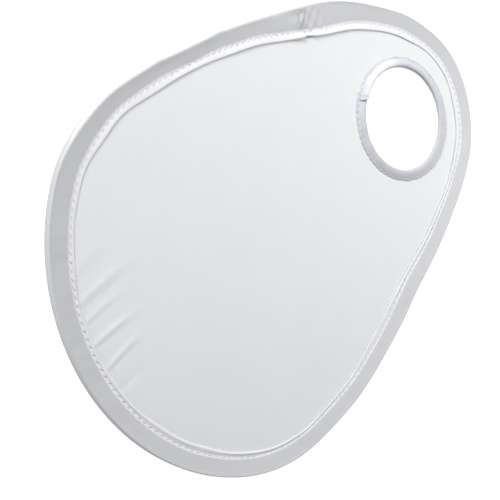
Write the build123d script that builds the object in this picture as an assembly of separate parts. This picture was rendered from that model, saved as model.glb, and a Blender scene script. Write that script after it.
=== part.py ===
from build123d import *
import math
import os

# Pop-up reflector disc with a lens opening, lying flat: millimetres, +Z out of the front face,
# +Y towards the narrow end, origin at the centre of the lens opening on the disc's mid-plane.
os.makedirs("parts", exist_ok=True)

# Egg-shaped outline, as four tangent radii to a side
DISC_LENGTH = 320.0
DISC_WIDTH = 228.0
WIDE_END_ROUNDNESS = 1.105  # radius of the wide end, in half widths
WIDE_END_TURN = 47.0        # degrees of the wide-end arc, each side of the long axis
NOSE_TURN = 56.0            # degrees of the narrow-end arc, each side of the long axis

# Binding tape folded round the rim
RIM_THICKNESS = 4.5
RIM_WIDTH = 14.1            # outer edge to the free edge of the flange
STITCH_INSET = 10.3         # outer edge to the stitch line
GROOVE_HEIGHT = 0.72        # top of the tape at the stitch line, above the mid-plane
FLANGE_HEIGHT = 1.35        # top of the flared free edge, above the mid-plane
TAPE_THICKNESS = 0.45

# Spring-steel band inside the rim, and the crimped sleeve that joins its ends
BAND_WIDTH = 2.8
BAND_THICKNESS = 0.5
FERRULE_WALL = 0.3
FERRULE_LENGTH = 42.0
FERRULE_CENTRE_Y = -117.0
BAND_END_GAP = 0.5

# Panel of diffuser cloth
PANEL_THICKNESS = 0.3
SEAM_ALLOWANCE = 2.3        # cloth caught under the rim tape, beyond the stitch line

# Lens opening and its folded elastic tape
LENS_RADIUS = 31.5
LENS_TAPE_WIDTH = 6.7
LENS_TAPE_THICKNESS = 0.8
COLLAR_RISE = 1.5           # the gathered inner edge stands this much higher than the outer edge
LENS_STITCH_INSET = 1.3     # from the tape's outer edge
LENS_MARGIN = 9.1           # bare cloth left between the lens tape and the rim tape

# Sewing thread, overlaps and bar tacks
THREAD_RADIUS = 0.22
LAP_THICKNESS = 0.4
RIM_LAP_LENGTH = 12.0
RIM_LAP_Y = -37.5
LENS_LAP_LENGTH = 9.0
LENS_LAP_ANGLE = 218.0      # degrees from +X about the opening
LAP_SETBACK = 1.2           # keeps the lap off the edge that grips the lens barrel
TACK_LENGTH = 1.5
TACK_THICKNESS = 0.25

# Fits, and the line the disc folds on
SLIP = 0.05                 # clearance between pieces that lie against each other
FOLD_Y = -70.0
FOLD_GAP = 0.4

Z_AXIS = (0, 0, 1)
WIDE_END_RADIUS = WIDE_END_ROUNDNESS * DISC_WIDTH / 2


def outline_arcs():
    """The outline as (centre x, centre y, radius, start angle, end angle), anticlockwise from the wide end."""
    s1, c1 = math.sin(math.radians(WIDE_END_TURN)), math.cos(math.radians(WIDE_END_TURN))
    s3, c3 = math.sin(math.radians(NOSE_TURN)), math.cos(math.radians(NOSE_TURN))
    half = DISC_WIDTH / 2
    shoulder = (half - WIDE_END_RADIUS * s1) / (1 - s1)

    def nose_for(side):
        return (half - side * (1 - s3)) / s3

    def length_for(side):
        lower = WIDE_END_RADIUS * (1 - c1) + shoulder * c1
        return lower + side * c3 + nose_for(side) * (1 - c3)

    # The length grows evenly with the side radius, so two trial radii give the one that fits
    first, second = length_for(0), length_for(100)
    side = 100 * (DISC_LENGTH - first) / (second - first)
    nose = nose_for(side)
    above_bottom = WIDE_END_RADIUS * (1 - c1) + shoulder * c1

    # The lens opening sits as near the tip as its tape can, clear of the rim ahead and at both sides
    room = LENS_RADIUS + LENS_TAPE_WIDTH + LENS_MARGIN + RIM_WIDTH
    beside = above_bottom + math.sqrt((side - room) ** 2 - (side - half) ** 2)
    bottom_y = -min(DISC_LENGTH - room, beside)
    widest_y = bottom_y + above_bottom
    wide, narrow = 90 - WIDE_END_TURN, 90 - NOSE_TURN
    shoulder_x = (WIDE_END_RADIUS - shoulder) * s1
    return [
        (0, bottom_y + WIDE_END_RADIUS, WIDE_END_RADIUS, wide - 180, -wide),
        (shoulder_x, widest_y, shoulder, -wide, 0),
        (half - side, widest_y, side, 0, narrow),
        (0, bottom_y + DISC_LENGTH - nose, nose, narrow, 180 - narrow),
        (side - half, widest_y, side, 180 - narrow, 180),
        (-shoulder_x, widest_y, shoulder, 180, 180 + wide),
    ]


ARCS = outline_arcs()
LEFT_SIDE = ARCS[4]


def swept(points, arc):
    """A closed section, given as (inset from the outer edge, height) points, turned along one arc."""
    cx, cy, radius, start, end = arc
    a = math.radians(start)
    corners = [(cx + (radius - n) * math.cos(a), cy + (radius - n) * math.sin(a), z) for n, z in points]
    face = Face(Wire.make_polygon(corners, close=True))
    return revolve(face, Axis((cx, cy, 0), Z_AXIS), revolution_arc=end - start)


def ring(points):
    """A closed section carried all the way round the outline."""
    solids = [swept(points, arc) for arc in ARCS]
    return solids[0].fuse(*solids[1:]).clean()


def round_section(inset, height, radius, sides=10):
    """A many-sided round section, for thread."""
    turn = 2 * math.pi / sides
    return [(inset + radius * math.cos(turn * (k + 0.5)), height + radius * math.sin(turn * (k + 0.5)))
            for k in range(sides)]


def slab(y_low, y_high, x_low=-400, x_high=400):
    """A block taller than the disc, used to keep one stretch of it."""
    size = (x_high - x_low, y_high - y_low, 40)
    return Pos((x_low + x_high) / 2, (y_low + y_high) / 2, 0) * Box(*size)


LENS_SIDE = slab(FOLD_Y + FOLD_GAP / 2, 400)
WIDE_SIDE = slab(-800, FOLD_Y - FOLD_GAP / 2)


def left_side_angle(y):
    """Angle, on the left side arc, of the outline point at height y."""
    _, cy, radius, _, _ = LEFT_SIDE
    return 180 - math.degrees(math.asin((y - cy) / radius))


def left_side_arc(y, length):
    """A stretch of the left side arc with its middle at height y."""
    cx, cy, radius, _, _ = LEFT_SIDE
    half = math.degrees(length / 2 / radius)
    middle = left_side_angle(y)
    return (cx, cy, radius, middle - half, middle + half)


def save(shape, name):
    """One closed solid, written under its node name."""
    solids = shape.solids()
    assert len(solids) == 1, f"{name}: {len(solids)} solids"
    export_step(solids[0], f"parts/{name}.step")
    print(f"{name}: {solids[0].volume:.1f} mm3")


# Rim tape: a folded strip, thin walls, open towards the panel
half_rim = RIM_THICKNESS / 2
skin = TAPE_THICKNESS
crown = 1.6                 # inset at which the flat crown of the rim turns into the slope
slope = (half_rim - GROOVE_HEIGHT) / (STITCH_INSET - crown)
outer_front = [(0, half_rim - 0.45), (0.45, half_rim), (crown, half_rim),
               (STITCH_INSET, GROOVE_HEIGHT), (RIM_WIDTH, FLANGE_HEIGHT)]
inner_front = [(RIM_WIDTH, FLANGE_HEIGHT - skin), (STITCH_INSET, GROOVE_HEIGHT - skin),
               (crown, half_rim - skin), (skin, half_rim - skin)]


def mirrored(points):
    return [(n, -z) for n, z in reversed(points)]


def rim_binding():
    return ring(outer_front + inner_front + mirrored(inner_front) + mirrored(outer_front))


def rim_binding_lap():
    """The free end of the rim tape, laid over its own start."""
    lift, step = SLIP, LAP_THICKNESS + SLIP
    end = STITCH_INSET - 0.7
    rise = GROOVE_HEIGHT + slope * (STITCH_INSET - end)
    low = -(half_rim - 0.5)
    top = [(-step, low), (-step, half_rim - 0.45), (0.2, half_rim + step), (crown, half_rim + step),
           (end, rise + step)]
    under = [(end, rise + lift), (crown, half_rim + lift), (0.4, half_rim + lift),
             (-lift, half_rim - 0.4), (-lift, low)]
    return swept(top + under, left_side_arc(RIM_LAP_Y, RIM_LAP_LENGTH))


def rim_lap_bartack():
    """A short dense block of stitches holding the lap down."""
    lift = LAP_THICKNESS + 2 * SLIP

    def height(n):
        return half_rim - slope * (n - crown) + lift

    low, high = 2.6, STITCH_INSET - 1.3
    points = [(low, height(low)), (low, height(low) + TACK_THICKNESS),
              (high, height(high) + TACK_THICKNESS), (high, height(high))]
    return swept(points, left_side_arc(RIM_LAP_Y - RIM_LAP_LENGTH / 2 + 2.5, TACK_LENGTH))


# Steel band on edge, its ends meeting inside the sleeve
band_inset = skin + SLIP + FERRULE_WALL + SLIP
band_section = [(band_inset, -BAND_WIDTH / 2), (band_inset, BAND_WIDTH / 2),
                (band_inset + BAND_THICKNESS, BAND_WIDTH / 2), (band_inset + BAND_THICKNESS, -BAND_WIDTH / 2)]


def hoop_ferrule():
    """A flat sleeve crimped over both ends of the band."""
    arc = left_side_arc(FERRULE_CENTRE_Y, FERRULE_LENGTH)

    def box_section(grow):
        n0, n1 = band_inset - grow, band_inset + BAND_THICKNESS + grow
        h = BAND_WIDTH / 2 + grow
        return [(n0, -h), (n0, h), (n1, h), (n1, -h)]

    return swept(box_section(SLIP + FERRULE_WALL), arc) - swept(box_section(SLIP), arc)


# Panel: one flat cut piece, with a round hole for the lens
def fabric_panel():
    inset = STITCH_INSET - SEAM_ALLOWANCE
    edges = []
    for cx, cy, radius, start, end in ARCS:
        r = radius - inset
        angles = [math.radians(start + (end - start) * k / 2) for k in range(3)]
        edges.append(Edge.make_three_point_arc(*[(cx + r * math.cos(a), cy + r * math.sin(a), 0) for a in angles]))
    face = Face(Wire(edges))
    if face.normal_at().Z < 0:
        face = -face
    blank = Pos(0, 0, -PANEL_THICKNESS / 2) * extrude(face, PANEL_THICKNESS)
    return blank - Cylinder(LENS_RADIUS + LENS_TAPE_THICKNESS + SLIP, 10)


# Lens opening: elastic tape folded over the cut edge of the panel
lens_face = PANEL_THICKNESS / 2 + SLIP + LENS_TAPE_THICKNESS


def lens_ring(points, start=0, end=360):
    """A closed (radius, height) section turned about the middle of the lens opening."""
    a = math.radians(start)
    face = Face(Wire.make_polygon([(r * math.cos(a), r * math.sin(a), z) for r, z in points], close=True))
    return revolve(face, Axis((0, 0, 0), Z_AXIS), revolution_arc=end - start)


def collar_height(radius):
    """Height of the elastic's front face, which rises towards the opening."""
    return lens_face + COLLAR_RISE * (LENS_RADIUS + LENS_TAPE_WIDTH - radius) / LENS_TAPE_WIDTH


def collar_layer(inner, outer, low, high):
    """A thin section lying on the elastic's sloping front face, from low to high above it."""
    return [(inner, collar_height(inner) + low), (inner, collar_height(inner) + high),
            (outer, collar_height(outer) + high), (outer, collar_height(outer) + low)]


def lens_opening_binding():
    inner, outer = LENS_RADIUS, LENS_RADIUS + LENS_TAPE_WIDTH
    slot = PANEL_THICKNESS / 2 + SLIP
    bevel = 0.15
    top = collar_height(inner + bevel)
    front = [(inner, top - bevel), (inner + bevel, top), (outer, lens_face), (outer, slot),
             (inner + LENS_TAPE_THICKNESS, slot)]
    back = [(inner + LENS_TAPE_THICKNESS, -slot), (outer, -slot), (outer, -lens_face),
            (inner + bevel, -lens_face), (inner, -lens_face + bevel)]
    return lens_ring(front + back)


def lens_binding_lap():
    """The free end of the elastic tape, stitched down over its start."""
    half = math.degrees(LENS_LAP_LENGTH / 2 / LENS_RADIUS)
    inner, outer = LENS_RADIUS + LAP_SETBACK, LENS_RADIUS + LENS_TAPE_WIDTH - LENS_STITCH_INSET - 0.4
    points = collar_layer(inner, outer, SLIP, SLIP + LAP_THICKNESS)
    return lens_ring(points, LENS_LAP_ANGLE - half, LENS_LAP_ANGLE + half)


def lens_lap_bartack():
    half = math.degrees(TACK_LENGTH / 2 / LENS_RADIUS)
    inner, outer = LENS_RADIUS + LAP_SETBACK + 0.4, LENS_RADIUS + LENS_TAPE_WIDTH - LENS_STITCH_INSET - 0.9
    low = LAP_THICKNESS + 2 * SLIP
    points = collar_layer(inner, outer, low, low + TACK_THICKNESS)
    middle = LENS_LAP_ANGLE + math.degrees(2.5 / LENS_RADIUS)
    return lens_ring(points, middle - half, middle + half)


def lens_thread(side):
    radius = LENS_RADIUS + LENS_TAPE_WIDTH - LENS_STITCH_INSET
    face = collar_height(radius) if side > 0 else lens_face
    return lens_ring(round_section(radius, side * (face + THREAD_RADIUS + SLIP), THREAD_RADIUS))


def rim_thread(side):
    return ring(round_section(STITCH_INSET, side * (GROOVE_HEIGHT + THREAD_RADIUS + SLIP), THREAD_RADIUS))


def build():
    binding = rim_binding()
    save(binding & LENS_SIDE, "rim_binding_lens")
    save(binding & WIDE_SIDE, "rim_binding_wide")
    save(rim_binding_lap(), "rim_binding_lap")
    save(rim_lap_bartack(), "rim_lap_bartack")

    band = ring(band_section)
    middle, gap = FERRULE_CENTRE_Y, BAND_END_GAP / 2
    save(band & LENS_SIDE, "spring_hoop_lens")
    save((band & WIDE_SIDE) - slab(middle - gap, 400, x_high=0), "spring_hoop_wide")
    save(band & slab(middle + gap, FOLD_Y - FOLD_GAP / 2, x_high=0), "spring_hoop_tail")
    save(hoop_ferrule(), "hoop_ferrule")

    panel = fabric_panel()
    save(panel & LENS_SIDE, "fabric_panel_lens")
    save(panel & WIDE_SIDE, "fabric_panel_wide")

    for side, name in ((1, "front"), (-1, "back")):
        thread = rim_thread(side)
        save(thread & LENS_SIDE, f"rim_thread_{name}_lens")
        save(thread & WIDE_SIDE, f"rim_thread_{name}_wide")
        save(lens_thread(side), f"lens_thread_{name}")

    save(lens_opening_binding(), "lens_opening_binding")
    save(lens_binding_lap(), "lens_binding_lap")
    save(lens_lap_bartack(), "lens_lap_bartack")


build()
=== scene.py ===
# %% [markdown]
# # A pop-up reflector disc in white diffuser cloth
#
# The real thing is a flat panel of thin white cloth, stretched inside a hoop of spring steel. A binding
# tape folds over the hoop and the cloth's edge, and one row of stitches holds all three together. Near the
# narrow end a round opening, bound in elastic tape, slips over a lens. The exact parts, and how they move,
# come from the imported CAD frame. This file gives them the cloth, thread and steel that the eye expects.

# %% Load the frame
import math

import bpy
import numpy as np
from mathutils import Matrix, Vector


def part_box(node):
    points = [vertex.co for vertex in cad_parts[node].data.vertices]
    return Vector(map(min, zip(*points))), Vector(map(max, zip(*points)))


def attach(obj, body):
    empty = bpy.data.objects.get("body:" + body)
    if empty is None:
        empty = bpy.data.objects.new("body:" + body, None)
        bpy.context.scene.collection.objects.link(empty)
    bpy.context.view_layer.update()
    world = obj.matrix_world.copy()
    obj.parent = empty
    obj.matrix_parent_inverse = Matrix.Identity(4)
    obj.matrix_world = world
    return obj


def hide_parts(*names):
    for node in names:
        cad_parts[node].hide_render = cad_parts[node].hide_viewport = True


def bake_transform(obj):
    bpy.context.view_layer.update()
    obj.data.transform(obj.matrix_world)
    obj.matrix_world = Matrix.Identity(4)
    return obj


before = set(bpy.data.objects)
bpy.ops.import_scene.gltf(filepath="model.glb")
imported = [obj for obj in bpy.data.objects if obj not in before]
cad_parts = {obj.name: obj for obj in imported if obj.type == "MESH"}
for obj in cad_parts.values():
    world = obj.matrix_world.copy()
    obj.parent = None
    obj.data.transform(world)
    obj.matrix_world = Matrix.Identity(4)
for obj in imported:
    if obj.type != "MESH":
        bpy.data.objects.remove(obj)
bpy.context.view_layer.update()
MM = 0.001

# %% [markdown]
# ## The outline
#
# The rim is an egg of tangent arcs, so every sewn piece can be swept along the same path. It could be a
# Bezier curve, but arcs keep the swept pieces exactly on the CAD rim. A place on the rim is one number, the
# distance walked anticlockwise from the left end of the wide arc.

# %% The egg of arcs
rim_low, rim_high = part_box("rim_binding_wide")
nose_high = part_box("rim_binding_lens")[1]
DISC_WIDTH = rim_high.x - rim_low.x
DISC_LENGTH = nose_high.y - rim_low.y
WIDE_TURN, NOSE_TURN = math.radians(47.0), math.radians(56.0)
WIDE_RADIUS = 1.105 * DISC_WIDTH / 2


def egg_arcs():
    """(centre x, centre y, radius, first angle, last angle) of each arc, anticlockwise."""
    s1, c1, s3, c3 = math.sin(WIDE_TURN), math.cos(WIDE_TURN), math.sin(NOSE_TURN), math.cos(NOSE_TURN)
    half = DISC_WIDTH / 2
    shoulder = (half - WIDE_RADIUS * s1) / (1 - s1)

    def nose(side):
        return (half - side * (1 - s3)) / s3

    def length(side):
        return WIDE_RADIUS * (1 - c1) + shoulder * c1 + side * c3 + nose(side) * (1 - c3)

    side = (DISC_LENGTH - length(0)) / (length(1) - length(0))
    widest = rim_low.y + WIDE_RADIUS * (1 - c1) + shoulder * c1
    low, high, x = math.pi / 2 - WIDE_TURN, math.pi / 2 - NOSE_TURN, (WIDE_RADIUS - shoulder) * s1
    return [(0, rim_low.y + WIDE_RADIUS, WIDE_RADIUS, low - math.pi, -low),
            (x, widest, shoulder, -low, 0),
            (half - side, widest, side, 0, high),
            (0, nose_high.y - nose(side), nose(side), high, math.pi - high),
            (side - half, widest, side, math.pi - high, math.pi),
            (-x, widest, shoulder, math.pi, math.pi + low)]


ARCS = np.array(egg_arcs())
ARC_STARTS = np.concatenate([[0], np.cumsum(ARCS[:, 2] * (ARCS[:, 4] - ARCS[:, 3]))])
AROUND = ARC_STARTS[-1]


# A sewn hoop never sits quite on its drawn line. Each push is (where along the rim, its reach, how far
# inwards), in mm
PUSHES = [(215, 25, 0.6), (302, 32, -2.5), (382, 20, 1.7), (468, 42, -2.8), (580, 22, 2.0), (655, 36, -3.2),
          (838, 22, 1.2)]
SEAM_PUSHES = [(20, 65, 1.4), (375, 28, 1.1), (530, 60, -0.6), (672, 30, 4.6)]
FLANGE_PUSHES = [(95, 70, -1.7), (255, 55, -2.4), (355, 20, 1.2), (445, 40, -2.0), (550, 35, -1.6), (672, 30, 4.4)]
# In the same way, where the tape's free edge lies flat: (where, its reach, the share of its height that is lost)
FLATTENED = [(25, 85, 0.85), (305, 95, 0.60), (560, 75, 0.75), (765, 70, 0.40)]


def past(distance, place, around=AROUND):
    """How far beyond a place on a closed path, counted the short way round."""
    return np.mod(distance - place + around / 2, around) - around / 2


def pushed(distance, pushes):
    """The sum of a list of soft pushes, at each distance along the rim."""
    total = np.zeros_like(distance)
    for middle, reach, amount in np.array(pushes) * MM:
        total = total + amount * np.exp(-(past(distance, middle) / reach) ** 2)
    return total


def walk(distance):
    """The outline point and the unit vector into the disc, for each distance along the rim."""
    distance = np.mod(distance, AROUND)
    k = np.clip(np.searchsorted(ARC_STARTS, distance, side="right") - 1, 0, len(ARCS) - 1)
    cx, cy, radius, first = ARCS[k, 0], ARCS[k, 1], ARCS[k, 2], ARCS[k, 3]
    angle = first + (distance - ARC_STARTS[k]) / radius
    inward = -np.stack([np.cos(angle), np.sin(angle)], -1)
    return np.stack([cx, cy], -1) - inward * (radius - pushed(distance, PUSHES))[..., None], inward


def distance_near(x, y):
    """How far along the rim the outline passes nearest to a point."""
    trial = np.linspace(0, AROUND, 8000, endpoint=False)
    points, _ = walk(trial)
    return float(trial[np.argmin(np.hypot(points[:, 0] - x, points[:, 1] - y))])


print(f"rim is {AROUND / MM:.0f} mm round, disc {DISC_LENGTH / MM:.0f} x {DISC_WIDTH / MM:.0f} mm")

# %% [markdown]
# ## Small tools
#
# A swept piece is a grid of points: stations along a path, corners around a section. One function turns any
# such grid into a closed mesh, lays a UV map on it in metres, and checks that its faces point outwards.
# Slow, seeded ripples make cloth look sewn by hand instead of printed.

# %% Swept meshes
def swept_mesh(name, grid, along, across, closed=True):
    """A mesh from grid[station, corner], with UVs in metres. An open path gets end caps."""
    stations, corners = grid.shape[:2]
    spans = stations if closed else stations - 1
    i, j = np.meshgrid(np.arange(spans), np.arange(corners), indexing="ij")
    i2, j2 = (i + 1) % stations, (j + 1) % corners
    quads = np.stack([i * corners + j, i2 * corners + j, i2 * corners + j2, i * corners + j2], -1).reshape(-1, 4)
    u = np.stack([along[i], along[i + 1], along[i + 1], along[i]], -1).reshape(-1, 4)
    v = np.stack([across[j], across[j], across[j + 1], across[j + 1]], -1).reshape(-1, 4)
    points = grid.reshape(-1, 3)
    a, b, c, d = (points[quads[:, n]] for n in range(4))
    volume = np.einsum("ij,ij->", a, np.cross(b, c)) + np.einsum("ij,ij->", a, np.cross(c, d))
    faces = quads.tolist()
    if volume < 0:
        faces = quads[:, ::-1].tolist()
        u, v = u[:, ::-1], v[:, ::-1]
    loops = np.stack([u, v], -1).reshape(-1, 2)
    if not closed:
        # End caps are strips across the section, which stay flat even where the section is long and bent
        k = np.arange(corners // 2 - 1)
        strip = np.stack([k, k + 1, corners - 2 - k, corners - 1 - k], -1)
        caps = np.vstack([strip[:, ::-1], strip + (stations - 1) * corners])
        caps = caps[:, ::-1] if volume < 0 else caps
        faces += caps.tolist()
        loops = np.vstack([loops, np.zeros((caps.size, 2))])
    mesh = bpy.data.meshes.new(name)
    mesh.from_pydata(points.tolist(), [], faces)
    uv = mesh.uv_layers.new(name="cloth")
    uv.data.foreach_set("uv", loops.astype(np.float32).ravel())
    mesh.shade_smooth()
    return add_object(name, mesh)


def add_object(name, mesh):
    obj = bpy.data.objects.new(name, mesh)
    bpy.context.scene.collection.objects.link(obj)
    print(f"{name}: {len(mesh.polygons)} faces")
    return obj


def lengths(points):
    """Distance walked along a list of (a, b) points, closed back to the first."""
    loop = np.vstack([points, points[:1]])
    return np.concatenate([[0], np.cumsum(np.hypot(*np.diff(loop, axis=0).T))])


def ripple(distance, around, wavelength, seed):
    """Smooth, seeded up and down along a closed path, about -1 to 1."""
    rng = np.random.default_rng(seed)
    middle = around / wavelength
    waves = np.unique(np.round(rng.uniform(0.5, 1.6, 9) * middle).clip(1))
    phases = rng.uniform(0, 2 * math.pi, len(waves))
    return sum(np.cos(2 * math.pi * w * distance / around + p) for w, p in zip(waves, phases)) / len(waves) ** 0.5


def bump(x, width):
    return np.exp(-(x / width) ** 2)


def facing(angle, degrees, spread):
    """1 for angles that point in one direction, falling to 0 away from it."""
    return bump(past(angle, math.radians(degrees), 2 * math.pi), spread)


def ease(x, low, high):
    t = np.clip((x - low) / (high - low), 0, 1)
    return t * t * (3 - 2 * t)


# %% [markdown]
# ## Colours and finishes
#
# Everything but the steel is white polyester, so what tells the pieces apart is the weave, and how much
# light each one gives back. Each finish is a small node tree: threads at their real spacing, a little
# unevenness in the colour, and the cloth's soft sheen.

# %% Node helpers
def linear(hex_colour):
    """An sRGB hex colour as linear RGBA."""
    parts = [int(hex_colour[k:k + 2], 16) / 255 for k in (1, 3, 5)]
    return [c / 12.92 if c <= 0.04045 else ((c + 0.055) / 1.055) ** 2.4 for c in parts] + [1.0]


def add(tree, kind, inputs=(), **settings):
    """One node with its settings. inputs holds (socket, value or output socket) pairs."""
    node = tree.nodes.new(kind)
    for key, value in settings.items():
        setattr(node, key, value)
    for socket, value in dict(inputs).items():
        if isinstance(value, bpy.types.NodeSocket):
            tree.links.new(value, node.inputs[socket])
        else:
            node.inputs[socket].default_value = value
    return node


def new_material(name):
    material = bpy.data.materials.new(name)
    material.use_nodes = True
    material.node_tree.nodes.clear()
    return material, material.node_tree


# %% Woven polyester
def woven(name, light, dark, thread_mm, relief_mm, roughness, sheen, coordinate="UV", soft=0.0, rib=False,
          painted_flange_highlight=None, painted_highlight_patch=None):
    """Cloth: crossing threads for relief, and slow mottling between two near colours.
    The flange colour is (colour, the near flange's width in mm, where the far flange starts in mm), measured across
    the tape: a whiter colour painted on both flanges as a highlight.
    The patch is (colour, middle along, reach along, middle across, reach across), in mm: a paler colour painted as a
    highlight where the tape faces the light."""
    material, tree = new_material(name)
    place = add(tree, "ShaderNodeTexCoord").outputs[coordinate]
    scale = 1 / (thread_mm * MM) / 20 * 2 * math.pi
    warp = add(tree, "ShaderNodeTexWave", {"Vector": place, "Scale": scale, "Distortion": 0.6, "Detail": 1.0,
                                           "Detail Scale": 3.0}, bands_direction="X").outputs["Fac"]
    weft = add(tree, "ShaderNodeTexWave", {"Vector": place, "Scale": scale * (0.45 if rib else 1), "Distortion": 0.6,
                                           "Detail": 1.0, "Detail Scale": 3.0}, bands_direction="Y").outputs["Fac"]
    threads = add(tree, "ShaderNodeMath", {0: warp, 1: weft}, operation="MAXIMUM" if rib else "MULTIPLY").outputs[0]
    patches = add(tree, "ShaderNodeTexNoise", {"Vector": place, "Scale": 45.0, "Detail": 3.0}).outputs["Fac"]
    fuzz = add(tree, "ShaderNodeTexNoise", {"Vector": place, "Scale": 1500.0, "Detail": 2.0}).outputs["Fac"]
    mixed = add(tree, "ShaderNodeMix", {"Factor": patches, 6: linear(light), 7: linear(dark)}, data_type="RGBA")
    if painted_flange_highlight or painted_highlight_patch:
        parts = add(tree, "ShaderNodeSeparateXYZ", {0: place}).outputs
    # Both flanges of the tape get a whiter colour, a painted highlight
    if painted_flange_highlight:
        across = parts["Y"]
        near = add(tree, "ShaderNodeMapRange", {"Value": across, 1: (painted_flange_highlight[1] - 0.5) * MM,
                                                2: painted_flange_highlight[1] * MM, 3: 1.0, 4: 0.0}).outputs[0]
        far = add(tree, "ShaderNodeMapRange", {"Value": across, 1: painted_flange_highlight[2] * MM,
                                               2: (painted_flange_highlight[2] + 0.5) * MM}).outputs[0]
        edge = add(tree, "ShaderNodeMath", {0: near, 1: far}, operation="MAXIMUM").outputs[0]
        mixed = add(tree, "ShaderNodeMix", {"Factor": edge, 6: mixed.outputs[2], 7: linear(painted_flange_highlight[0])},
                    data_type="RGBA")
    # A paler colour painted as a highlight over one patch, where the tape faces the light
    if painted_highlight_patch:
        factor = 1.0
        for axis, middle_mm, reach_mm in (("X", painted_highlight_patch[1], painted_highlight_patch[2]), ("Y", painted_highlight_patch[3], painted_highlight_patch[4])):
            away = add(tree, "ShaderNodeMath", {0: parts[axis], 1: middle_mm * MM}, operation="SUBTRACT").outputs[0]
            away = add(tree, "ShaderNodeMath", {0: away}, operation="ABSOLUTE").outputs[0]
            band = add(tree, "ShaderNodeMapRange", {"Value": away, 1: 0.5 * reach_mm * MM, 2: reach_mm * MM, 3: 1.0,
                                                    4: 0.0}, interpolation_type="SMOOTHSTEP").outputs[0]
            factor = add(tree, "ShaderNodeMath", {0: factor, 1: band}, operation="MULTIPLY").outputs[0]
        mixed = add(tree, "ShaderNodeMix", {"Factor": factor, 6: mixed.outputs[2], 7: linear(painted_highlight_patch[0])},
                    data_type="RGBA")
    worn = add(tree, "ShaderNodeMix", {"Factor": 0.06, 6: mixed.outputs[2], 7: fuzz}, data_type="RGBA",
               blend_type="OVERLAY")
    height = add(tree, "ShaderNodeMath", {0: threads, 1: fuzz}, operation="ADD").outputs[0]
    relief = add(tree, "ShaderNodeBump", {"Height": height, "Strength": 1.0, "Distance": relief_mm * MM})
    cloth = add(tree, "ShaderNodeBsdfPrincipled",
                {"Base Color": worn.outputs[2], "Roughness": roughness, "IOR": 1.5, "Specular IOR Level": 0.35,
                 "Sheen Weight": sheen, "Sheen Roughness": 0.5, "Subsurface Weight": soft,
                 "Subsurface Radius": (1.0, 1.0, 1.0), "Subsurface Scale": 0.0015,
                 "Normal": relief.outputs["Normal"]})
    add(tree, "ShaderNodeOutputMaterial", {"Surface": cloth.outputs["BSDF"]})
    print("material:", name)
    return material


# Thin translucent pongee: smooth, close weave, drawn at 0.5 mm where the real threads are about 0.1 mm
DIFFUSER = woven("Translucent polyester pongee", "#E3E5E6", "#DFE2E4", 0.5, 0.006, 0.55, 0.15, soft=0.15)
# Grosgrain binding: a heavier tape, so its threads stand up more and it gives back less light. Its flanges, beyond
# the stitches, are painted whiter as a highlight, and so is its crest along the side by the sleeve, where it faces
# the light
BINDING = woven("Woven polyester binding tape", "#C9CACC", "#C3C4C7", 0.6, 0.02, 0.7, 0.2,
                painted_flange_highlight=("#E5E5E7", 4.2, 29.3), painted_highlight_patch=("#E9E9EB", 760, 110, 14.3, 2.8))
# Fold-over elastic: ribs run along the tape, with a faint lilac tint from its rubber core. Next to
# its overlap, on the side that faces the light, it is painted paler as a highlight
ELASTIC = woven("Fold-over elastic tape", "#CBCBD2", "#C3C3CB", 0.7, 0.03, 0.65, 0.25, rib=True,
                painted_highlight_patch=("#D9D9DF", 116, 26, 5.5, 5.5))
# Spun polyester thread: bright, because each stitch lies proud of the tape
THREAD = woven("Spun polyester thread", "#DEDEE1", "#D6D6DA", 0.25, 0.02, 0.6, 0.3, coordinate="Object")


# %% Steel
def steel(name, light, dark, roughness):
    """Rolled steel: fine scratches along the strip and a patchy, slightly blued tint."""
    material, tree = new_material(name)
    place = add(tree, "ShaderNodeTexCoord").outputs["Object"]
    patches = add(tree, "ShaderNodeTexNoise", {"Vector": place, "Scale": 60.0, "Detail": 4.0}).outputs["Fac"]
    scratches = add(tree, "ShaderNodeTexNoise", {"Vector": place, "Scale": 2500.0, "Detail": 2.0}).outputs["Fac"]
    colour = add(tree, "ShaderNodeMix", {"Factor": patches, 6: linear(light), 7: linear(dark)}, data_type="RGBA")
    relief = add(tree, "ShaderNodeBump", {"Height": scratches, "Distance": 0.01 * MM})
    metal = add(tree, "ShaderNodeBsdfPrincipled", {"Base Color": colour.outputs[2], "Metallic": 1.0,
                                                   "Roughness": roughness, "Normal": relief.outputs["Normal"]})
    add(tree, "ShaderNodeOutputMaterial", {"Surface": metal.outputs["BSDF"]})
    print("material:", name)
    return material


SPRING_STEEL = steel("Blued spring steel", "#8A8C92", "#5E6470", 0.32)
CRIMP_STEEL = steel("Plain crimped steel", "#A9AAA8", "#8F908E", 0.45)

# %% [markdown]
# ## The folded rim tape
#
# The tape goes round the hoop like a hem: over the steel, down a slope to the stitches, and out into a short
# free flange that flares up from the panel. A solid ring would look moulded, so the section keeps the
# tape's real thickness, and the row of stitches pulls it down and pinches it into small scallops.

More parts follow.
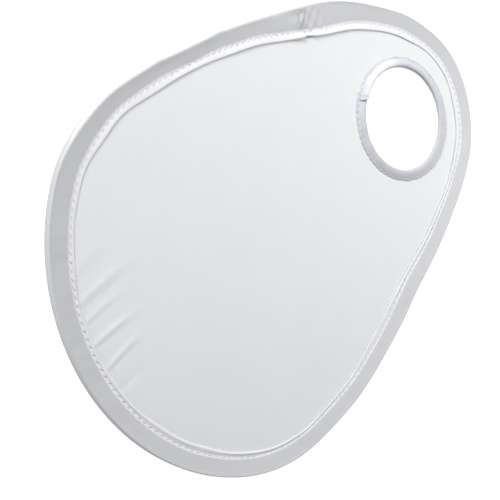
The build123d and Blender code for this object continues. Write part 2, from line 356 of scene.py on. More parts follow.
# %% Rim sizes
RIM_HALF = 2.25 * MM
STITCH_INSET = 10.3 * MM
STITCH_COUNT = 196
STITCH_PITCH = AROUND / STITCH_COUNT
SLEEVE_MIDDLE = distance_near(-0.112, -0.117)
SLEEVE_HALF = 21 * MM
LAP_HALF = 7.0 * MM
LAP_MIDDLE = distance_near(-0.0915, -0.0375) + 8.0 * MM
RIM_PROFILE = np.array([
    (14.05, 0.62), (14.18, 0.84), (14.10, 1.08), (13.75, 1.24), (13.20, 1.24), (12.60, 1.11), (11.90, 0.90),
    (11.30, 0.73), (10.80, 0.62), (10.45, 0.56), (10.20, 0.55), (9.95, 0.61), (9.60, 0.71), (9.00, 0.84),
    (8.00, 1.03), (6.80, 1.25), (5.40, 1.51), (4.00, 1.76), (2.80, 1.97), (2.00, 2.12), (1.45, 2.24),
    (1.05, 2.36), (0.72, 2.44), (0.42, 2.42), (0.17, 2.24), (0.04, 1.94), (0.00, 1.30), (0.00, 0.40)]) * MM
RIM_LINING = np.array([(0.45, 0.6), (0.50, 1.60), (1.60, 1.46), (5.40, 0.95), (9.40, 0.36), (10.3, 0.22),
                       (11.2, 0.30), (12.6, 0.50), (13.9, 0.58)]) * MM


def flatten_flange(n, z, s, stitch_height):
    """In four places round the rim the free edge of the tape lies down instead of flaring up."""
    flat = pushed(s, FLATTENED) / MM
    lying = stitch_height - 0.12 * MM * ease(n, 11.5 * MM, 13.5 * MM)
    return np.where(n > 10.4 * MM, lying + (z - lying) * (1 - flat), z)


def shift_section(n, s):
    """Insets moved so that the stitches and the free edge follow their own pushes."""
    moved = pushed(s, SEAM_PUSHES) * ease(n, 1.5 * MM, 9.5 * MM) * (1 - ease(n, 10.6 * MM, 13.6 * MM))
    return n + moved + pushed(s, FLANGE_PUSHES) * ease(n, 10.6 * MM, 13.6 * MM)


def rim_profile_at(distance):
    """Inset and height of the tape's outer face, for each distance along the rim, front side."""
    n = np.tile(RIM_PROFILE[:, 0], (len(distance), 1))
    z = np.tile(RIM_PROFILE[:, 1], (len(distance), 1))
    s = distance[:, None]
    phase = np.mod(s / STITCH_PITCH, 1.0)
    groove, flange = bump(n - STITCH_INSET, 1.3 * MM), ease(n, 10.6 * MM, 13.6 * MM)
    slope = ease(n, 1.0 * MM, 4.0 * MM) * (1 - ease(n, 8.8 * MM, 10.2 * MM))
    saw = np.where(phase < 0.7, phase / 0.7, (1 - phase) / 0.3) * 2 - 1
    needle = bump((phase - 0.5 - np.round(phase - 0.5)) * STITCH_PITCH, 0.7 * MM)
    n += 0.30 * MM * saw * groove
    z -= 0.13 * MM * needle * bump(n - STITCH_INSET, 0.8 * MM)
    z += flange * (0.02 * MM * np.cos(2 * math.pi * phase) + 0.13 * MM * ripple(s, AROUND, 60 * MM, 3))
    n += flange * 0.30 * MM * ripple(s, AROUND, 55 * MM, 4)
    z += slope * (0.07 * MM * ripple(s, AROUND, 30 * MM, 5) + 0.02 * MM * ripple(s, AROUND, 9 * MM, 6))
    # Beside the overlap, on the nose side, the tape is crumpled and its flange is pinched back a little
    beside = LAP_MIDDLE - LAP_HALF - s
    crumple = ease(beside, -1 * MM, 2 * MM) * (1 - ease(beside, 4 * MM, 24 * MM))
    z += crumple * slope * 0.26 * MM * (np.sin(2 * math.pi * (beside + 0.9 * n) / (6.5 * MM))
                                        + np.sin(2 * math.pi * (beside - 1.2 * n) / (8 * MM)))
    pinch = bump(beside - 3.0 * MM, 3.5 * MM)
    n -= flange * pinch * 0.8 * MM
    z += ease(n, 9.5 * MM, 11.0 * MM) * (bump(beside - 9 * MM, 4.0 * MM) * 0.3 - pinch * 0.12) * MM
    # Over the crimped sleeve the tape is packed out: a fuller crown and a steeper start to the slope
    gap = np.abs(past(s, SLEEVE_MIDDLE))
    packed = 1 - ease(gap, SLEEVE_HALF - 2 * MM, SLEEVE_HALF + 1.5 * MM)
    crown = 1 - ease(n, 1.5 * MM, 5.0 * MM)
    z += packed * bump(n - 2.2 * MM, 1.6 * MM) * 0.12 * MM
    # The sleeve is straight, so the rim runs straight between two slight corners
    chord = 0.62 * MM * np.clip(1 - (gap / SLEEVE_HALF) ** 2, 0, 1) - 0.40 * MM * bump(gap - SLEEVE_HALF, 4 * MM)
    n += chord * (1 - ease(n, 6 * MM, 13 * MM)) - packed * crown * 0.2 * MM
    # Along that side the crest is rounder and sits further in
    rounder = 1.5 * MM * bump(past(s, 785 * MM), 75 * MM)
    n += rounder * np.where(n < 0.8 * MM, ease(z, 1.2 * MM, 2.4 * MM), 1 - ease(n, 0.8 * MM, 6.5 * MM))
    z = flatten_flange(n, z, s, 0.56 * MM)
    return shift_section(n, s), z


def place_section(distance, n, z):
    """Insets and heights turned into points on the disc."""
    point, inward = walk(distance)
    plan = point[:, None, :] + inward[:, None, :] * n[..., None]
    return np.concatenate([plan, z[..., None]], -1)


# %% Sew the rim tape
stations = np.linspace(0, AROUND, STITCH_COUNT * 8, endpoint=False)
n_front, z_front = rim_profile_at(stations)
n_back, z_back = rim_profile_at(stations + STITCH_PITCH / 2)
lining_n = shift_section(np.tile(RIM_LINING[:, 0], (len(stations), 1)), stations[:, None])
lining_z = flatten_flange(RIM_LINING[:, 0] + 0 * lining_n, RIM_LINING[:, 1] + 0 * lining_n, stations[:, None],
                          0.22 * MM)
rim_n = np.hstack([n_front, n_back[:, ::-1], lining_n[:, ::-1], lining_n])
rim_z = np.hstack([z_front, -z_back[:, ::-1], -lining_z[:, ::-1], lining_z])
across = lengths(np.stack([rim_n[0], rim_z[0]], -1))
rim_tape = swept_mesh("Rim_Binding_Tape", place_section(stations, rim_n, rim_z), np.append(stations, AROUND), across)
rim_tape.data.materials.append(BINDING)

# %% [markdown]
# ## The overlap of the rim tape
#
# The tape is one strip, so its end has to cross its start somewhere. A maker folds the cut end under, lays
# it over the start and sews through both. It is made here as its own thin layer, following the tape below,
# with one proud, wavy edge and the other edge pressed away to nothing.

# %% Lay the overlap
lap_s = np.linspace(-1, 1, 26)
lap_rows = LAP_MIDDLE + lap_s * LAP_HALF
lap_n, lap_z = rim_profile_at(lap_rows)
under_n, under_z = np.hstack([lap_n, lap_n[:, -1:]]), np.hstack([lap_z, -lap_z[:, -1:]])
tangent_n, tangent_z = np.gradient(under_n, axis=1), np.gradient(under_z, axis=1)
size = np.hypot(tangent_n, tangent_z)
out_n, out_z = tangent_z / size, -tangent_n / size
flip = np.sign(out_z[:, 10:11])
out_n, out_z = out_n * flip, out_z * flip
# The folded end stands nearly 1 mm proud, with a gap beneath it; the far side sinks into the tape
proud = -0.04 * MM + 0.95 * MM * ease(-lap_s, -0.9, 0.9)[:, None] * (1 + 0.3 * np.sin(under_n / MM * 0.8 + 1.2))
proud += 0.30 * MM * bump(lap_s + 0.86, 0.13)[:, None] * ease(under_n, 0.8 * MM, 2.5 * MM)
proud *= 1 - 0.5 * ease(under_n, 10 * MM, 12 * MM)
over_n, over_z = under_n + out_n * proud, under_z + out_z * proud
lifted = -0.12 * MM + 0.50 * MM * ease(-lap_s, 0.5, 1.0)[:, None] * (1 - ease(under_n, 9.5 * MM, 11 * MM))
wave = (3.2 * MM * bump(under_n - 11.5 * MM, 3.2 * MM) - 1.2 * MM * bump(under_n - 4 * MM, 2.2 * MM)
        + 0.2 * MM * np.sin(under_n / (0.9 * MM)))
rows_2d = LAP_MIDDLE + lap_s[:, None] * LAP_HALF + ease(-lap_s, -0.6, 1.0)[:, None] * wave


def place_grid(distance, n, z):
    """As place_section, but with a distance for every corner."""
    point, inward = walk(distance)
    return np.concatenate([point + inward * n[..., None], z[..., None]], -1)


lap_grid = np.concatenate([place_grid(rows_2d, over_n, over_z),
                           place_grid(rows_2d, under_n + out_n * lifted, under_z + out_z * lifted)[:, ::-1]], 1)
lap_across = np.concatenate([across[:under_n.shape[1]], across[:under_n.shape[1]][::-1], across[:1]])
rim_lap = swept_mesh("Rim_Tape_Overlap", lap_grid, lap_rows, lap_across, closed=False)
rim_lap.data.materials.append(BINDING)

# %% [markdown]
# ## The spring hoop
#
# Inside the tape runs one flat band of spring steel, standing on edge, with its two ends pushed into a
# crimped sleeve. The tape hides both, and they are swept along the rim too instead of being left as CAD solids.

# %% Bend the band and its sleeve
def drawn_in(distance):
    """How much further in the steel lies, close to its sleeve, to stay inside the tape."""
    gap = np.abs(past(distance, SLEEVE_MIDDLE))
    return 0.40 * MM * (1 - ease(gap, SLEEVE_HALF, 2 * SLEEVE_HALF))[:, None]


def rim_strip(name, inset, thick, half_height, start, end, steps, material):
    """A rectangular strip with eased corners, from start to end along the rim."""
    ease_by = 0.08 * MM
    n0, n1, h = inset, inset + thick, half_height
    section = np.array([(n0 + ease_by, -h), (n0, -h + ease_by), (n0, h - ease_by), (n0 + ease_by, h),
                        (n1 - ease_by, h), (n1, h - ease_by), (n1, -h + ease_by), (n1 - ease_by, -h)])
    distance = np.linspace(start, end, steps)
    n, z = (np.tile(section[:, k], (steps, 1)) for k in (0, 1))
    obj = swept_mesh(name, place_section(distance, n + drawn_in(distance), z), distance, lengths(section),
                     closed=False)
    obj.data.materials.append(material)
    return obj


band = rim_strip("Spring_Steel_Band", 0.85 * MM, 0.5 * MM, 1.4 * MM, SLEEVE_MIDDLE + 0.25 * MM,
                 SLEEVE_MIDDLE + AROUND - 0.25 * MM, 700, SPRING_STEEL)


def sleeve_wall(name, inset, thick, half_height, wall, material):
    """A flat tube, as an outer and an inner skin joined at both ends."""
    distance = np.linspace(SLEEVE_MIDDLE - SLEEVE_HALF, SLEEVE_MIDDLE + SLEEVE_HALF, 44)
    skins = []
    for grow in (wall, 0.04 * MM):
        n0, n1, h = inset - grow, inset + thick + grow, half_height + grow
        corners = np.array([(n0, -h), (n0, h), (n1, h), (n1, -h)])
        n, z = (np.tile(corners[:, k], (len(distance), 1)) for k in (0, 1))
        skins.append(place_section(distance, n + drawn_in(distance), z))
    path = np.concatenate([skins[0], skins[1][::-1]], 0)
    reach = np.append(np.concatenate([distance, distance[::-1]]), distance[0])
    obj = swept_mesh(name, path, reach, np.arange(5) * 2 * MM)
    obj.data.materials.append(material)
    return obj


sleeve = sleeve_wall("Crimped_Sleeve", 0.85 * MM, 0.5 * MM, 1.4 * MM, 0.25 * MM, CRIMP_STEEL)

# %% [markdown]
# ## The diffuser cloth
#
# The cloth is held flat by the hoop, so simulating it would only find that it is flat. What the eye sees is
# how the sewing upsets that: short ridges where the cloth is pulled in near the wide end, a faint ridge
# beside the lens tape, and a slow unevenness all over. So it is a fine grid of rays, from the lens opening
# to the rim, raised and lowered by a few named folds.

# %% Folds in the cloth
CLOTH_HALF = 0.15 * MM
CLOTH_INSET = 8.0 * MM
LENS_EDGE = 32.5 * MM
# Each fold: where it starts at the rim (x, y), where it ends, its half width and its height, in mm
FOLDS = [(-39, -243, -41, -199, 2.3, 0.30), (-30, -245, -31, -214, 1.5, 0.20), (-19, -247, -18, -212, 1.7, 0.32),
         (-5, -248, -8, -217, 1.5, 0.32), (-52, -239, -56, -205, 3.0, 0.15), (8, -248, 7, -228, 2.0, -0.15)]


def opening_stretch(angle):
    """How far the relaxed opening stands outside a true circle: a little longer along one diagonal."""
    return (0.6 + 0.9 * np.cos(2 * (angle - math.radians(55))) + 1.2 * np.cos(angle + math.radians(38))) * MM


def cloth_height(x, y):
    """How far the cloth stands off its flat plane at each point."""
    z = 0.05 * MM * (np.sin(x / 0.021 + 1.3) * np.cos(y / 0.033) + np.sin((x + y) / 0.017 + 0.4))
    for x0, y0, x1, y1, width, height in np.array(FOLDS) * MM:
        run = np.array([x1 - x0, y1 - y0])
        reach = np.hypot(*run)
        along = ((x - x0) * run[0] + (y - y0) * run[1]) / reach ** 2
        aside = ((x - x0) * run[1] - (y - y0) * run[0]) / reach + 0.8 * MM * np.sin(along * 3.0)
        spread = width * (0.7 + 0.7 * np.clip(along, 0, 1))
        z += height * bump(aside, spread) * ease(along, -0.05, 0.22) * (1 - ease(along, 0.45, 1.05))
        trough = ease(along, -0.05, 0.25) * (1 - ease(along, 0.4, 0.9))
        z -= 0.25 * height * bump(aside - 1.9 * spread, spread) * trough
    radius, angle = np.hypot(x, y), np.arctan2(y, x)
    # The back half of the lens tape is wider than the front half, and shows as a fine ridge on one side
    z += 0.28 * MM * facing(angle, 235, 1.1) * bump(radius - opening_stretch(angle) - 39.6 * MM, 0.55 * MM)
    return z


# %% Weave the panel
def crowded(count, at, spread, extra):
    """Stations round the rim, closer together near one place."""
    fine = np.linspace(0, AROUND, 6000)
    weight = 1 + extra * bump(past(fine, at), spread)
    total = np.concatenate([[0], np.cumsum((weight[1:] + weight[:-1]) / 2)])
    return np.interp(np.linspace(0, total[-1], count, endpoint=False), total, fine)


RINGS = 66
rays = crowded(600, distance_near(-0.022, -0.255), 42 * MM, 3.0)
rim_point, rim_inward = walk(rays)
outer = rim_point + rim_inward * CLOTH_INSET
ray_angle = np.arctan2(outer[:, 1], outer[:, 0])
inner = np.stack([np.cos(ray_angle), np.sin(ray_angle)], -1) * (LENS_EDGE + opening_stretch(ray_angle))[:, None]
steps = np.linspace(0, 1, RINGS)
share = np.where(steps < 0.16, steps * 0.42, 0)
share = np.where(steps >= 0.16, 0.0672 + (1 - 0.0672) * (1 - (1 - (steps - 0.16) / 0.84) ** 1.4), share)
plan = inner[:, None] + (outer - inner)[:, None] * share[:, None]
off_plane = cloth_height(plan[..., 0], plan[..., 1])
reach = np.linalg.norm(outer[:, None] - plan, axis=-1)
plan_angle = np.arctan2(plan[..., 1], plan[..., 0])
from_opening = np.hypot(plan[..., 0], plan[..., 1]) - opening_stretch(plan_angle)
off_plane *= ease(reach, 2.5 * MM, 7.0 * MM) * ease(from_opening, 37.5 * MM, 39 * MM)
off_plane += 0.5 * MM * (1 - ease(from_opening, 32 * MM, 38 * MM))
front = np.concatenate([plan, (off_plane + CLOTH_HALF)[..., None]], -1)
back = np.concatenate([plan, (off_plane - CLOTH_HALF)[..., None]], -1)
panel = swept_mesh("Diffuser_Cloth", np.concatenate([front, back[:, ::-1]], 1), np.append(rays, AROUND),
                   np.linspace(0, 1, 2 * RINGS + 1))
# The weave runs straight across the cloth, so its UV map is the plan itself
corner = np.zeros(len(panel.data.loops), int)
panel.data.loops.foreach_get("vertex_index", corner)
flat_plan = np.array([v.co[:2] for v in panel.data.vertices])
panel.data.uv_layers["cloth"].data.foreach_set("uv", flat_plan[corner].astype(np.float32).ravel())
panel.data.materials.append(DIFFUSER)

# %% [markdown]
# ## The lens opening
#
# Fold-over elastic is a ribbed tape with a thinner line down its middle, so it folds in half over the cut
# edge by itself. Its stitches sink in and leave it slightly gathered.

# %% Bind the opening
LENS_PROFILE = np.array([
    (38.10, 0.28), (38.22, 0.45), (38.12, 0.66), (37.80, 0.84), (37.40, 0.90), (36.95, 0.88), (36.50, 1.06),
    (35.90, 1.36), (35.00, 1.68), (34.20, 1.92), (33.50, 2.06), (32.90, 2.08), (32.40, 1.98), (32.00, 1.76),
    (31.70, 1.44), (31.54, 1.08), (31.50, 0.80)]) * MM
LENS_BACK = np.array([
    (31.50, 0.60), (31.52, 0.10), (31.70, -0.25), (32.20, -0.42), (33.10, -0.50), (34.00, -0.56), (35.00, -0.62),
    (35.90, -0.68), (36.50, -0.66), (36.95, -0.60), (37.40, -0.68), (37.80, -0.72), (38.12, -0.62),
    (38.22, -0.45), (38.10, -0.28)]) * MM
LENS_SLOT = np.array([(38.0, -0.20), (36.5, 0.10), (34.5, 0.20), (32.9, 0.30), (32.3, 0.55), (32.9, 0.80),
                      (34.5, 0.70), (36.5, 0.50), (38.0, 0.21)]) * MM
LENS_STITCHES = 66
LENS_STITCH_RADIUS = 36.95 * MM
LENS_LAP = math.radians(225.0)   # where the free end of the elastic stops


def lens_profile_at(angle, profile=LENS_PROFILE, shift=0.0):
    """Radius and height of one face of the elastic, for each angle about the opening."""
    r, z = (np.tile(profile[:, k], (len(angle), 1)) for k in (0, 1))
    up = 1 if profile is LENS_PROFILE else -1
    a = angle[:, None]
    phase = np.mod(a / (2 * math.pi) * LENS_STITCHES + shift, 1.0)
    needle = bump(phase - 0.5, 0.16)
    z -= up * 0.26 * MM * needle * bump(r - LENS_STITCH_RADIUS, 0.6 * MM)
    outer_part = ease(r, 36.9 * MM, 38.0 * MM)
    r += outer_part * (0.16 * MM * np.cos(2 * math.pi * phase) + 0.18 * MM * ripple(a, 2 * math.pi, 0.35, 11))
    z += (1 - outer_part) * 0.10 * MM * ripple(a, 2 * math.pi, 0.45, 12)
    # Its outer edge is pressed down on the side towards the wide end
    pressed = facing(a, -50, 0.8) * ease(r, 36.9 * MM, 37.6 * MM)
    z -= up * 0.55 * pressed * (np.abs(z) - 0.25 * MM).clip(0)
    # The gathered edge stands up less on one side, and the tape lies wider there
    low_side, high_side = facing(a, 35, 0.9), facing(a, 190, 0.75)
    z += np.maximum(z - 0.9 * MM, 0) * (0.85 * high_side - 0.6 * low_side)
    return r + opening_stretch(a) + 0.9 * MM * low_side * ease(r, 33 * MM, 38 * MM), z


def turn(angle, r, z):
    return np.stack([r * np.cos(angle), r * np.sin(angle), z], -1)


lens_angle = np.linspace(0, 2 * math.pi, LENS_STITCHES * 8, endpoint=False)
r_front, z_front_lens = lens_profile_at(lens_angle)
r_back, z_back_lens = lens_profile_at(lens_angle, LENS_BACK, 0.5)
slot_r, slot_z = (np.tile(LENS_SLOT[:, k], (len(lens_angle), 1)) for k in (0, 1))
lens_r = np.hstack([r_front, r_back, slot_r + opening_stretch(lens_angle[:, None])])
lens_z = np.hstack([z_front_lens, z_back_lens, slot_z])
lens_tape = swept_mesh("Lens_Opening_Elastic", turn(lens_angle[:, None], lens_r, lens_z),
                       np.append(lens_angle, 2 * math.pi) * 35 * MM, lengths(np.stack([lens_r[0], lens_z[0]], -1)))
lens_tape.data.materials.append(ELASTIC)

# %% Overlap the elastic
lap_t = np.linspace(-1, 1, 20)
lap_angle = LENS_LAP + (lap_t - 1) * 0.16
top_r, top_z = lens_profile_at(lap_angle)
top_r, top_z = top_r[:, 5:], top_z[:, 5:]
raise_by = -0.05 * MM + 1.50 * MM * ease(lap_t, -1.0, 0.9)[:, None]
slant = -0.07 * (1 - ease(top_r, 31.5 * MM, 38.5 * MM)) * ease(lap_t, -0.5, 1.0)[:, None]
lean = np.gradient(top_z, axis=1) / np.hypot(np.gradient(top_r, axis=1), np.gradient(top_z, axis=1))
upper = turn(lap_angle[:, None] + slant, top_r - lean * raise_by * 0.4, top_z + raise_by)
lower = turn(lap_angle[:, None] + slant, top_r, top_z - 0.12 * MM)
lens_lap = swept_mesh("Elastic_Overlap", np.concatenate([upper, lower[:, ::-1]], 1), lap_angle * 35 * MM,
                      np.linspace(0, 14 * MM, 2 * top_r.shape[1] + 1), closed=False)
lens_lap.data.materials.append(ELASTIC)

# %% [markdown]
# ## Stitches
#
# A machine seam is one short arch of thread repeated every few millimetres. Geometry Nodes suits it: walk
# along a seam curve, set an arch of thread at each step, turn it to the seam, lean it a little, and jitter
# it by a fixed seed. The same tree sews the rim, the lens opening and the bar tacks.

# %% The seam tree
def seam_tree():
    tree = bpy.data.node_groups.new("Seam", "GeometryNodeTree")
    for name, kind in (("Seam Line", "Geometry"), ("Pitch", "Float"), ("Stitch Length", "Float"),
                       ("Thread Radius", "Float"), ("Arch Height", "Float"), ("Lean", "Float"), ("Seed", "Int")):
        tree.interface.new_socket(name, in_out="INPUT", socket_type=f"NodeSocket{kind}")
    tree.interface.new_socket("Thread", in_out="OUTPUT", socket_type="NodeSocketGeometry")
    given = add(tree, "NodeGroupInput").outputs
    half = add(tree, "ShaderNodeMath", {0: given["Stitch Length"], 1: 0.5}, operation="MULTIPLY").outputs[0]
    back_half = add(tree, "ShaderNodeMath", {0: half, 1: -1.0}, operation="MULTIPLY").outputs[0]
    first = add(tree, "ShaderNodeCombineXYZ", {"X": back_half}).outputs[0]
    crest = add(tree, "ShaderNodeCombineXYZ", {"Z": given["Arch Height"]}).outputs[0]
    last = add(tree, "ShaderNodeCombineXYZ", {"X": half}).outputs[0]
    arch = add(tree, "GeometryNodeCurveQuadraticBezier", {"Resolution": 6, "Start": first, "Middle": crest,
                                                           "End": last}).outputs["Curve"]
    round_thread = add(tree, "GeometryNodeCurvePrimitiveCircle",
                       {"Resolution": 6, "Radius": given["Thread Radius"]}).outputs["Curve"]
    stitch = add(tree, "GeometryNodeCurveToMesh", {"Curve": arch, "Profile Curve": round_thread,
                                                   "Fill Caps": True}).outputs["Mesh"]
    steps = add(tree, "GeometryNodeResampleCurve", {"Curve": given["Seam Line"], "Length": given["Pitch"]},
                mode="LENGTH")
    tangent = add(tree, "GeometryNodeInputTangent").outputs[0]
    facing = add(tree, "FunctionNodeAlignRotationToVector", {"Vector": tangent}, axis="X", pivot_axis="Z").outputs[0]
    sewn = add(tree, "GeometryNodeInstanceOnPoints", {"Points": steps.outputs["Curve"], "Instance": stitch,
                                                       "Rotation": facing}).outputs["Instances"]
    jitter = add(tree, "FunctionNodeRandomValue", {2: -0.10, 3: 0.10, "Seed": given["Seed"]}, data_type="FLOAT")
    swing = add(tree, "ShaderNodeMath", {0: given["Lean"], 1: jitter.outputs[1]}, operation="ADD").outputs[0]
    twist = add(tree, "ShaderNodeCombineXYZ", {"Z": swing}).outputs[0]
    leaning = add(tree, "GeometryNodeRotateInstances", {"Instances": sewn, "Rotation": twist}).outputs[0]
    real = add(tree, "GeometryNodeRealizeInstances", {"Geometry": leaning}).outputs[0]
    smooth = add(tree, "GeometryNodeSetShadeSmooth", {"Geometry": real}).outputs[0]
    dyed = add(tree, "GeometryNodeSetMaterial", {"Geometry": smooth, "Material": THREAD}).outputs[0]
    add(tree, "NodeGroupOutput", {"Thread": dyed})
    return tree


SEAM = seam_tree()


def sew(name, points, closed, **sizes):
    """Runs the seam tree along the points and keeps the result as a plain mesh."""
    line = bpy.data.curves.new(name + "_line", "CURVE")
    line.dimensions = "3D"
    spline = line.splines.new("POLY")
    spline.points.add(len(points) - 1)
    spline.points.foreach_set("co", np.column_stack([points, np.ones(len(points))]).ravel())
    spline.use_cyclic_u = closed
    holder = bpy.data.objects.new(name + "_line", line)
    bpy.context.scene.collection.objects.link(holder)
    modifier = holder.modifiers.new("Seam", "NODES")
    modifier.node_group = SEAM
    sockets = {item.name: item.identifier for item in SEAM.interface.items_tree if item.in_out == "INPUT"}
    for label, value in sizes.items():
        modifier[sockets[label.replace("_", " ").title()]] = value
    bpy.context.view_layer.update()
    evaluated = holder.evaluated_get(bpy.context.evaluated_depsgraph_get())
    mesh = bpy.data.meshes.new_from_object(evaluated)
    holder.modifiers.remove(modifier)
    bpy.data.objects.remove(holder)
    mesh.name = name
    return add_object(name, mesh)


# %% Sew the rim and the lens opening
def rim_seam_line(height):
    distance = np.linspace(0, AROUND, 1600, endpoint=False)
    point, inward = walk(distance)
    inset = STITCH_INSET + pushed(distance, SEAM_PUSHES)
    return np.column_stack([point + inward * inset[:, None], np.full(len(distance), height)])


def lens_seam_line(height):
    a = np.linspace(0, 2 * math.pi, 400, endpoint=False)
    return turn(a, LENS_STITCH_RADIUS + opening_stretch(a) + 0.85 * MM * facing(a, 35, 0.9), np.full(400, height))


line = rim_seam_line(0.0)
seam_length = np.linalg.norm(np.diff(np.vstack([line, line[:1]]), axis=0), axis=1).sum()
seam_pitch = seam_length / STITCH_COUNT
rim_stitches = [sew(f"Rim_Stitches_{side}", rim_seam_line(up * 0.56 * MM), True, pitch=seam_pitch,
                    stitch_length=2.2 * MM, thread_radius=0.18 * MM, arch_height=up * 0.42 * MM, lean=up * 0.45,
                    seed=seed) for side, up, seed in (("Front", 1, 3), ("Back", -1, 4))]
lens_pitch = 2 * math.pi * LENS_STITCH_RADIUS / LENS_STITCHES
lens_stitches = [sew(f"Lens_Stitches_{side}", lens_seam_line(low * MM), True, pitch=lens_pitch,
                     stitch_length=2.4 * MM, thread_radius=0.13 * MM, arch_height=arch * MM, lean=0.0,
                     seed=seed) for side, low, arch, seed in (("Front", 0.80, 0.26, 5), ("Back", -0.56, -0.3, 6))]

# %% Tack down both overlaps
def height_on(surface, plan):
    """A smooth line of heights just above a surface, taken from its points nearest to a row of places."""
    top = surface.reshape(-1, 3)
    nearest = np.argmin(np.linalg.norm(plan[:, None] - top[None, :, :2], axis=-1), axis=1)
    t = np.linspace(0, 1, len(plan))
    return np.polyval(np.polyfit(t, top[nearest, 2], 3), t) + 0.06 * MM


tack_s = LAP_MIDDLE - LAP_HALF * 0.45
tack_point, tack_inward = walk(np.array([tack_s]))
tack_n = np.linspace(3.0 * MM, 9.0 * MM, 24)
tack_plan = tack_point + tack_inward * tack_n[:, None]
tack_z = height_on(lap_grid[:, :n_front.shape[1]], tack_plan)
rim_tack = sew("Rim_Bar_Tack", np.column_stack([tack_plan, tack_z]), False,
               pitch=0.55 * MM, stitch_length=1.7 * MM, thread_radius=0.18 * MM, arch_height=0.25 * MM,
               lean=math.radians(80), seed=7)
lens_tack_angle = LENS_LAP - 0.09
lens_tack_r = np.linspace(33.3 * MM, 36.6 * MM, 16) + opening_stretch(lens_tack_angle)
lens_tack_plan = turn(lens_tack_angle, lens_tack_r, 0 * lens_tack_r)[:, :2]
lens_tack_z = height_on(upper, lens_tack_plan)
lens_tack = sew("Lens_Bar_Tack", turn(lens_tack_angle, lens_tack_r, lens_tack_z), False, pitch=0.5 * MM,
                stitch_length=1.5 * MM, thread_radius=0.16 * MM, arch_height=0.22 * MM,
                lean=math.radians(80), seed=8)

# %% [markdown]
# ## Tie everything to the frame
#
# The disc folds across its middle, and the real one bends there instead of hinging. Every sewn piece that
# crosses the fold is baked in place here, and the CAD parts it stands for are hidden. What sits wholly on the
# lens end simply rides with it.

# %% Bake and ride
crossing = {rim_tape: ("binding_tape", ["rim_binding_lens", "rim_binding_wide"]),
            rim_lap: ("binding_tape", ["rim_binding_lap"]),
            rim_tack: ("sewing_thread", ["rim_lap_bartack"]),
            band: ("spring_steel", ["spring_hoop_lens", "spring_hoop_wide", "spring_hoop_tail"]),
            sleeve: ("crimp_sleeve", ["hoop_ferrule"]),
            panel: ("diffuser_cloth", ["fabric_panel_lens", "fabric_panel_wide"]),
            rim_stitches[0]: ("sewing_thread", ["rim_thread_front_lens", "rim_thread_front_wide"]),
            rim_stitches[1]: ("sewing_thread", ["rim_thread_back_lens", "rim_thread_back_wide"])}
riding = {lens_tape: ("elastic_tape", ["lens_opening_binding"]),
          lens_lap: ("elastic_tape", ["lens_binding_lap"]),
          lens_tack: ("sewing_thread", ["lens_lap_bartack"]),
          lens_stitches[0]: ("sewing_thread", ["lens_thread_front"]),
          lens_stitches[1]: ("sewing_thread", ["lens_thread_back"])}
for piece, (finish, nodes) in crossing.items():
    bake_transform(piece)
    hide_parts(*nodes)
for piece, (finish, nodes) in riding.items():
    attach(piece, "lens_half")
    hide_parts(*nodes)
print("pieces tied:", len(crossing) + len(riding))

# %% [markdown]
# ## Floor, light and camera
#
# White cloth on white paper has only its shading to show its shape. So the main light comes in low from one
# side, as from a window, with three weak fills, and the floor glows evenly instead of bouncing a hot patch back.
# The disc lies flat on its back, and the camera looks down at it with a roll, as someone holding it sees it.

# %% Pale floor
floor_mesh = bpy.data.meshes.new("Floor")
reach = 4.0
floor_z = -RIM_HALF - 0.6 * MM
floor_mesh.from_pydata([(-reach, -reach, floor_z), (reach, -reach, floor_z), (reach, reach, floor_z),
                        (-reach, reach, floor_z)], [], [(0, 1, 2, 3)])
floor = add_object("Floor", floor_mesh)
FLOOR_PAINT, tree = new_material("Matt white floor paint")
paint = add(tree, "ShaderNodeBsdfPrincipled", {"Base Color": linear("#FAFAFA"), "Roughness": 0.9,
                                               "Emission Color": (1, 1, 1, 1), "Emission Strength": 0.75})
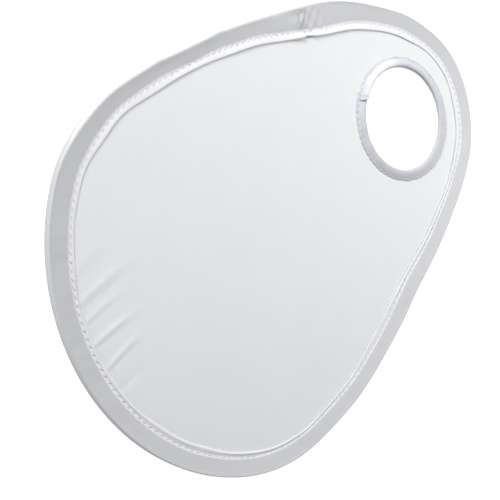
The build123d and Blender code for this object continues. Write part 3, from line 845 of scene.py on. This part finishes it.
# The floor glows evenly onto the disc, like a lit paper sweep, and a little brighter towards the camera
bounce = add(tree, "ShaderNodeEmission", {"Strength": 0.50})
seen = add(tree, "ShaderNodeLightPath").outputs["Is Camera Ray"]
surface = add(tree, "ShaderNodeMixShader", {0: seen, 1: bounce.outputs[0], 2: paint.outputs["BSDF"]})
add(tree, "ShaderNodeOutputMaterial", {"Surface": surface.outputs[0]})
floor_mesh.materials.append(FLOOR_PAINT)


# %% Soft light
def soft_light(name, place, target, size, watts):
    light = bpy.data.lights.new(name, "AREA")
    light.shape, light.size, light.energy = "DISK", size, watts
    obj = bpy.data.objects.new(name, light)
    obj.matrix_world = Matrix.Translation(place) @ (target - place).to_track_quat("-Z", "Y").to_matrix().to_4x4()
    bpy.context.scene.collection.objects.link(obj)


middle = Vector((0, -0.098, 0))
soft_light("Window", middle + Vector((-1.16, -0.20, 0.52)), middle, 0.7, 16.5)
soft_light("Nose_Fill", Vector((-0.25, 0.35, 0.50)), Vector((-0.03, 0, 0)), 0.4, 1.9)
soft_light("Side_Fill", Vector((0.30, 0.42, 0.45)), Vector((0, -0.05, 0)), 0.4, 1.8)
soft_light("Low_Fill", Vector((0.22, -0.95, 0.10)), Vector((0, -0.2, 0)), 0.3, 1.6)
world = bpy.data.worlds.new("Studio")
world.use_nodes = True
world.node_tree.nodes["Background"].inputs["Color"].default_value = linear("#FBFCFD")
# The walls of the room light the disc only faintly, but look white behind it
seen = add(world.node_tree, "ShaderNodeLightPath").outputs["Is Camera Ray"]
strength = add(world.node_tree, "ShaderNodeMapRange", {"Value": seen, 3: 0.20, 4: 1.0}).outputs[0]
world.node_tree.links.new(strength, world.node_tree.nodes["Background"].inputs["Strength"])
bpy.context.scene.world = world
bpy.context.scene.view_settings.view_transform = "Standard"

# %% Camera
camera_data = bpy.data.cameras.new("Camera")
camera_data.lens, camera_data.sensor_width = 61.96, 36.0
camera_data.clip_start = 0.01
camera = bpy.data.objects.new("Camera", camera_data)
right, up, forward = (Vector(v).normalized() for v in
                      ((0.4558, 0.6483, 0.6099), (-0.8129, 0.5823, -0.0114), (0.3625, 0.4906, -0.7924)))
turned = Matrix((right, up, -forward)).transposed().to_4x4()
camera.matrix_world = Matrix.Translation((-0.1680, -0.3680, 0.3628)) @ turned
bpy.context.scene.collection.objects.link(camera)
bpy.context.scene.camera = camera
